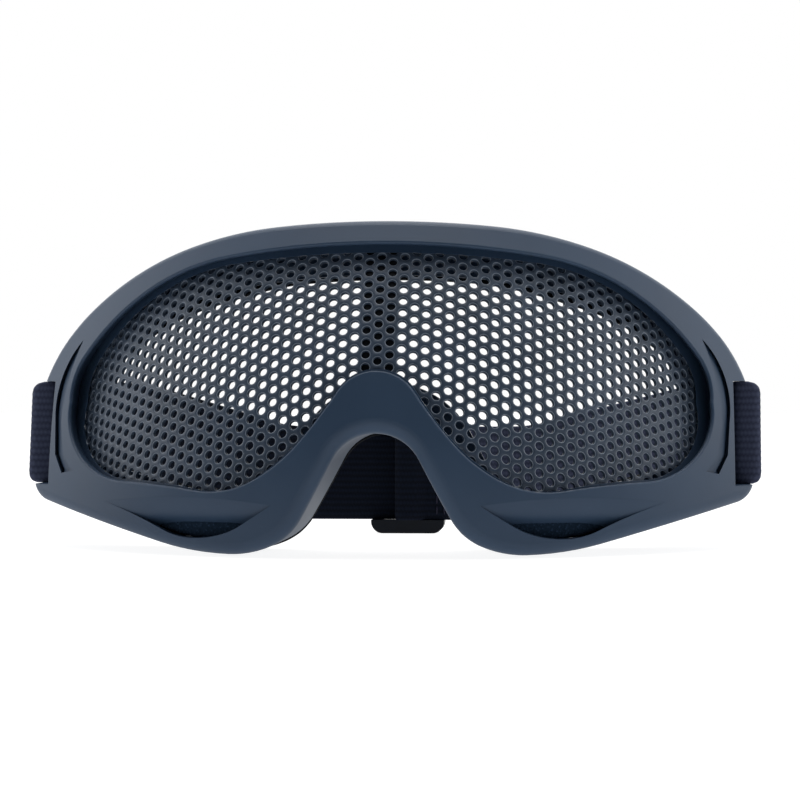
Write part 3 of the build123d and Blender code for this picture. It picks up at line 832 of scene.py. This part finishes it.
@dataclass
class Headband:
    """One length of elastic webbing, from the left bar round the head to the slider's middle bar."""

    elastic: WovenElastic = WovenElastic()
    thread: SewingThread = SewingThread()
    width: float = 25.0
    swell: float = 1.02
    thickness: float = 1.5
    rib: float = 1.56
    rib_height: float = 0.03
    section_points: int = 65
    layer: float = 1.8
    straight_half: float = 28.0
    rise_half_left: float = 76.0
    rise_half_right: float = 84.0
    rise_blend: float = 5.0
    curl: float = 2.6
    curl_foot_share: float = 0.65
    curl_width: float = 3.0
    bulge_left: float = 1.1
    bulge_right: float = 0.3
    bulge_rear: float = 66.0
    bulge_fade: float = 16.0
    bulge_lean: float = 0.6
    stitch_rows: tuple = (74.5, 76.5, 81.0)
    end_rows: tuple = (8.0, 10.0)
    stitch_count: int = 8
    stitch_spacing: float = 2.9
    stitch_size: tuple = (0.22, 0.3, 1.15)
    stitch_segments: int = 8
    stitch_rings: int = 6
    rear_depth: float = 119.0
    side_x: float = 90.95
    arc_middle: float = 56.05
    slot_x: float = 85.65
    loop_front: float = 58.15
    loop_rear: float = 63.85
    side_foot: float = 15.8
    rear_foot: float = 3.9
    tab_depth: float = 84.0
    corner: float = 1.5
    corner_steps: int = 6
    corner_share: float = 0.49
    corner_flat_degrees: float = 85.0
    step: float = 2.5
    edge_round: float = 0.8
    bar_half: float = 1.7
    bar_depth: float = 2.0
    bar_gap: float = 0.3
    end_start: float = 6.0
    end_slope: float = 3.0
    end_reach: float = 12.0
    end_overrun: float = 1.0
    end_stop: float = 12.5

    def foot(self, x: float) -> float:
        """Height of the webbing's lower edge at a distance from the nose."""
        rise_half = self.rise_half_left if x < 0 else self.rise_half_right
        blend = self.rise_blend
        rise = self.side_foot - self.rear_foot
        slope = rise / (rise_half - self.straight_half - 2 * blend)
        past = abs(x) - self.straight_half
        left = rise_half - abs(x)
        if past <= 0:
            return self.rear_foot
        if left <= 0:
            return self.side_foot
        if past < 2 * blend:
            return self.rear_foot + slope * past**2 / (4 * blend)
        if left < 2 * blend:
            return self.side_foot - slope * left**2 / (4 * blend)
        return self.rear_foot + slope * (past - blend)

    def slack(self, x: float, depth: float, across: float) -> float:
        """How far the webbing stands out at a bar, where its edges curl in and its foot bulges.

        Args:
            x: Distance from the nose.
            depth: Depth.
            across: Place across the width, upwards from the middle.

        Returns:
            The distance outwards.
        """
        beyond = smooth_step((abs(x) - self.slot_x) / (self.side_x - self.slot_x))
        near = beyond * (1 - smooth_step((depth - self.bulge_rear) / self.bulge_fade))
        edge = max(0.0, (abs(across) - self.width / 2) / self.curl_width + 1)
        curl = self.curl * self.curl_foot_share if across < 0 else self.curl
        rolled = curl * (1 - math.sqrt(max(0.0, 1 - edge**2)))
        bulge = self.bulge_left if x < 0 else self.bulge_right
        return near * (bulge * (self.bulge_lean - across / self.width) - rolled)

    def side_arc(self, inner: float, start: float, sign: int) -> list[tuple[float, float]]:
        """Plan of a side run from the straight stretch to the bar.

        Args:
            inner: How far the layer lies inside the outer one.
            start: Depth where it meets the bar's loop.
            sign: 1 on the right and -1 on the left.

        Returns:
            X and depth of points from the rear to the bar.
        """
        radius = self.side_x - self.straight_half - inner
        last = math.asin((start - self.arc_middle) / radius)
        count = round(radius * (math.pi / 2 - last) / self.step)
        points = []
        for index in range(count + 1):
            turn = math.pi / 2 + (last - math.pi / 2) * index / count
            x = self.straight_half + radius * math.cos(turn)
            points.append((sign * x, self.arc_middle + radius * math.sin(turn)))
        return points

    def rounded(self, corners: list[tuple[float, float]]) -> list[tuple[float, float]]:
        """Points along a polyline, as X and depth, whose corners are rounded."""
        points = [corners[0]]
        for before, here, after in zip(corners, corners[1:], corners[2:]):
            a, b, c = (Vector(p) for p in (before, here, after))
            into, out = (a - b).normalized(), (c - b).normalized()
            half = into.angle(out) / 2
            if half > math.radians(self.corner_flat_degrees):
                points.append(here)
                continue
            room = min((a - b).length, (c - b).length) * self.corner_share
            reach = min(self.corner / math.tan(half), room)
            start, end = b + into * reach, b + out * reach
            for index in range(self.corner_steps + 1):
                share = index / self.corner_steps
                points.append(tuple(start.lerp(b, share).lerp(b.lerp(end, share), share)))
        points.append(corners[-1])
        return points

    def hoop_path(self) -> list[tuple[float, float]]:
        """Plan of the headband from the left tab to the rear of the inner right run."""
        run_start = self.loop_rear + self.layer
        return_start = self.loop_rear + 3 * self.layer
        left_inner = self.side_arc(self.layer, return_start, -1)
        tab = [p for p in left_inner if p[1] <= self.tab_depth + self.step / 2]
        left_outer = self.side_arc(0, run_start, -1)
        right_outer = self.side_arc(0, run_start, 1)
        right_inner = self.side_arc(self.layer, return_start, 1)
        left_loop = self.rounded(
            [
                tab[-1],
                (-self.slot_x, self.loop_rear),
                (-self.slot_x, self.loop_front),
                (-self.side_x, self.loop_front),
                (-self.side_x, self.loop_rear - self.layer),
                left_outer[-1],
            ]
        )
        places = np.arange(-self.straight_half, self.straight_half + 1, self.step)
        straight = [(x, self.rear_depth) for x in places]
        right_loop = self.rounded(
            [
                right_outer[-1],
                (self.side_x, self.loop_rear - self.layer),
                (self.side_x, self.loop_front),
                (self.slot_x, self.loop_front),
                (self.slot_x, self.loop_rear),
                right_inner[-1],
            ]
        )
        path = tab[:-1] + left_loop + left_outer[-2:0:-1] + straight + right_outer[1:-1] + right_loop
        return path + right_inner[-2::-1]

    def end_path(self) -> list[tuple[float, float]]:
        """Plan of the inner layer's end, which turns round the slider's middle bar."""
        rear = self.rear_depth - self.layer
        past_bar = self.bar_half + self.bar_gap
        side = -past_bar - self.thickness / 2
        front = rear - self.bar_depth - 2 * self.bar_gap - self.thickness
        start = [(x, rear) for x in np.arange(self.straight_half, self.end_start, -self.step)]
        turn = self.rounded(
            [
                (self.end_start, rear),
                (side, rear),
                (side, front),
                (past_bar, front),
                (past_bar + self.end_slope, rear - self.layer),
                (self.end_reach, rear - self.layer),
            ]
        )
        return start + turn

    def section(self) -> list[tuple[float, float]]:
        """Ribbed cross-section: places across the width and off the middle of the thickness."""
        points = []
        for face in (1, -1):
            for index in range(self.section_points):
                share = index / (self.section_points - 1)
                across = face * (share - 0.5) * self.width
                edge = min(1.0, (self.width / 2 - abs(across)) / self.thickness)
                rounding = math.sqrt(1 - (1 - edge) ** 2 * self.edge_round)
                body = (self.thickness / 2 - self.rib_height) * rounding
                rib = self.rib_height * math.cos(2 * math.pi * across / self.rib) * edge
                points.append((across, face * (body + rib)))
        return points

    def follow(self, ring: list[BMVert], fresh: list[BMVert]) -> list[BMVert]:
        """Vertices of a new ring in the order of the ring that it grew from."""
        old = set(ring)
        grown = {}
        for vert in fresh:
            source = next(e.other_vert(vert) for e in vert.link_edges if e.other_vert(vert) in old)
            grown[source] = vert
        return [grown[vert] for vert in ring]

    def ribbon(self, path: list[tuple[float, float]]) -> BMesh:
        """Webbing that stands on its edge along a path in plan.

        Args:
            path: X and depth of the middle of its thickness.

        Returns:
            The closed ribbon, with how far along and across it each vertex lies.
        """
        bm = bmesh.new()
        along_layer = bm.verts.layers.float.new("along")
        across_layer = bm.verts.layers.float.new("across")
        inward_layer = bm.verts.layers.float.new("inward")
        section = self.section()
        ring = [bm.verts.new((0, 0, 0)) for _ in section]
        for a, b in zip(ring, ring[1:] + ring[:1]):
            bm.edges.new((a, b))
        edges = list(bm.edges)
        points = [Vector(p) for p in path]
        along = 0.0
        for index, point in enumerate(points):
            before = points[max(index - 1, 0)]
            after = points[min(index + 1, len(points) - 1)]
            ahead = (after - before).normalized()
            side = Vector((ahead.y, -ahead.x))
            if index:
                along += (point - points[index - 1]).length
                grown = bmesh.ops.extrude_edge_only(bm, edges=edges)["geom"]
                edges = edges_among(grown, verts_of(grown))
                ring = self.follow(ring, verts_of(grown))
            foot = self.foot(point.x)
            for vert, (across, off) in zip(ring, section):
                x, depth = point.x + side.x * off, point.y + side.y * off
                x += math.copysign(1.0, x) * self.slack(x, depth, across)
                vert.co = place(x, depth, foot + self.width / 2 + across * self.swell)
                vert[along_layer] = along * MM
                vert[across_layer] = across * MM
                vert[inward_layer] = 1.0 if off > 0 else 0.0
            if index in (0, len(points) - 1):
                bmesh.ops.contextual_create(bm, geom=list(edges))
        bmesh.ops.recalc_face_normals(bm, faces=bm.faces)
        return bm

    def stitch(self, bm: BMesh, x: float, depth: float, foot: float) -> None:
        """Sew one row of stitches across the webbing.

        Args:
            bm: The webbing.
            x: Distance of the row from the nose.
            depth: Depth of the row.
            foot: Height of the webbing's lower edge there.
        """
        old = set(bm.faces)
        for index in range(self.stitch_count):
            across = (index - (self.stitch_count - 1) / 2) * self.stitch_spacing
            counts = {"u_segments": self.stitch_segments, "v_segments": self.stitch_rings}
            verts = bmesh.ops.create_uvsphere(bm, **counts, radius=1.0)["verts"]
            for vert in verts:
                vert.co = Vector(vert.co[i] * self.stitch_size[i] * MM for i in range(3))
            bmesh.ops.translate(bm, verts=verts, vec=place(x, depth, foot + self.width / 2 + across))
        for face in set(bm.faces) - old:
            face.material_index = 1

    def sew_tab(self, bm: BMesh) -> None:
        """Sew the left tab down, with rows that show on both faces of the two layers."""
        for depth in self.stitch_rows:
            for inner in (-self.thickness / 2, self.layer + self.thickness / 2):
                radius = self.side_x - self.straight_half - inner
                x = -self.straight_half - math.sqrt(radius**2 - (depth - self.arc_middle) ** 2)
                self.stitch(bm, x, depth, self.foot(x))

    def build(self) -> None:
        """Make the headband and its looped end."""
        materials = [self.elastic.material(), self.thread.material()]
        band = self.ribbon(self.hoop_path())
        self.sew_tab(band)
        hoop = new_piece("headband", band, materials)
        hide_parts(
            "left_strap_loop",
            "right_strap_loop",
            "left_strap_run",
            "right_strap_run",
            "strap_return_run",
            "rear_strap",
        )
        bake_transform(hoop)
        end_band = self.ribbon(self.end_path())
        for x in self.end_rows:
            for inner in (self.layer - self.thickness / 2, 2 * self.layer + self.thickness / 2):
                self.stitch(end_band, x, self.rear_depth - inner, self.rear_foot)
        looped = new_piece("headband_end", end_band, materials)
        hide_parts("strap_return_end", "slider_end_loop")
        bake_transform(looped)
        LOG.info("headband: %d and %d faces", len(hoop.data.polygons), len(looped.data.polygons))


@dataclass
class StrapSlider:
    """The three-bar slider, which is its CAD node under a smooth acetal finish."""

    acetal: MouldedAcetal = MouldedAcetal()

    def build(self) -> None:
        """Dress the slider."""
        dress("strap_slider", self.acetal.material())


@dataclass
class Studio:
    """Camera at the photograph's angle, white table, soft lights and a tent of bright cloth."""

    azimuth: float = 3.9
    distance: float = 0.6
    turn_depth: float = 14.5
    aim_shift: float = 4.73
    height: float = 36.4
    lens: float = 115.3
    sensor: float = 36.0
    aim_height: float = 0.04
    table_half: float = 6.0
    table_cells: int = 8
    table_colour: str = "959595"
    table_seen: float = 0.9
    table_glow: float = 0.66
    boxes: tuple = (
        ("overhead", (0.0, 0.15, 1.0), 0.9, 4.5),
        ("left", (-0.9, 0.0, 0.3), 0.6, 1.25),
        ("right", (0.9, 0.0, 0.3), 0.6, 1.1),
    )
    cloth_light: float = 2.0
    cloth_heading: tuple = (0.0, 0.94, 0.34)
    cloth_edge: float = -0.4

    def camera(self) -> None:
        """Make the level camera."""
        angle = math.radians(self.azimuth)
        data = bpy.data.cameras.new("camera")
        data.lens = self.lens
        data.sensor_width = self.sensor
        camera = bpy.data.objects.new("camera", data)
        x = self.distance / MM * math.sin(angle) + self.aim_shift * math.cos(angle)
        depth = self.turn_depth - self.distance / MM * math.cos(angle) + self.aim_shift * math.sin(angle)
        camera.location = place(x, depth, self.height)
        camera.rotation_euler = (math.pi / 2, 0, angle)
        bpy.context.scene.collection.objects.link(camera)
        bpy.context.scene.camera = camera

    def table(self) -> None:
        """Make the wide white table, which is lit until its shadows are faint in the picture."""
        bm = bmesh.new()
        cells = {"x_segments": self.table_cells, "y_segments": self.table_cells}
        bmesh.ops.create_grid(bm, **cells, size=self.table_half)
        tree = Tree("white_table")
        matte = tree.add("ShaderNodeBsdfDiffuse", None, Color=linear(self.table_colour))
        seen = tree.add("ShaderNodeLightPath").outputs["Is Camera Ray"]
        strength = tree.scaled(seen, self.table_seen - self.table_glow, self.table_glow)
        glow = tree.add("ShaderNodeEmission", None, Color=linear("ffffff"), Strength=strength)
        both = tree.add("ShaderNodeAddShader", None, i0=matte.outputs["BSDF"], i1=glow.outputs["Emission"])
        new_piece("floor", bm, [tree.finish(both.outputs["Shader"])])

    def lights(self) -> None:
        """Hang the soft boxes: overhead and on each side."""
        for name, where, size, power in self.boxes:
            data = bpy.data.lights.new(name, "AREA")
            data.shape = "DISK"
            data.size = size
            data.energy = power
            light = bpy.data.objects.new(name, data)
            light.location = where
            aim = Vector((0, 0, self.aim_height)) - Vector(where)
            light.rotation_euler = aim.to_track_quat("-Z", "Y").to_euler()
            bpy.context.scene.collection.objects.link(light)

    def tent(self) -> None:
        """Hang bright cloth behind and above, and leave the room in front of the object dark."""
        world = bpy.data.worlds.new("studio_room")
        world.use_nodes = True
        nodes, links = world.node_tree.nodes, world.node_tree.links
        facing = nodes.new("ShaderNodeVectorMath")
        facing.operation = "DOT_PRODUCT"
        links.new(nodes.new("ShaderNodeTexCoord").outputs["Generated"], facing.inputs[0])
        facing.inputs[1].default_value = self.cloth_heading
        cloth = nodes.new("ShaderNodeMapRange")
        cloth.interpolation_type = "SMOOTHSTEP"
        cloth.inputs["From Min"].default_value = self.cloth_edge
        cloth.inputs["To Max"].default_value = self.cloth_light
        links.new(facing.outputs["Value"], cloth.inputs["Value"])
        seen = nodes.new("ShaderNodeMix")
        seen.data_type = "FLOAT"
        links.new(nodes.new("ShaderNodeLightPath").outputs["Is Camera Ray"], seen.inputs[0])
        links.new(cloth.outputs["Result"], seen.inputs[2])
        seen.inputs[3].default_value = 1.0
        links.new(seen.outputs[0], nodes["Background"].inputs["Strength"])
        nodes["Background"].inputs["Color"].default_value = (1.0, 1.0, 1.0, 1.0)
        bpy.context.scene.world = world
        bpy.context.scene.view_settings.view_transform = "Standard"

    def build(self) -> None:
        """Make the whole studio."""
        self.camera()
        self.table()
        self.lights()
        self.tent()


def main() -> None:
    """Build each sub-assembly in order."""
    logging.basicConfig(level=logging.INFO, format="%(message)s")
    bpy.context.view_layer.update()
    Studio().build()
    FrameMoulding().build()
    MeshLens(LensDome(), LensOutline()).build()
    FoamPieces().build()
    Headband().build()
    StrapSlider().build()


if __name__ == "__main__":
    main()
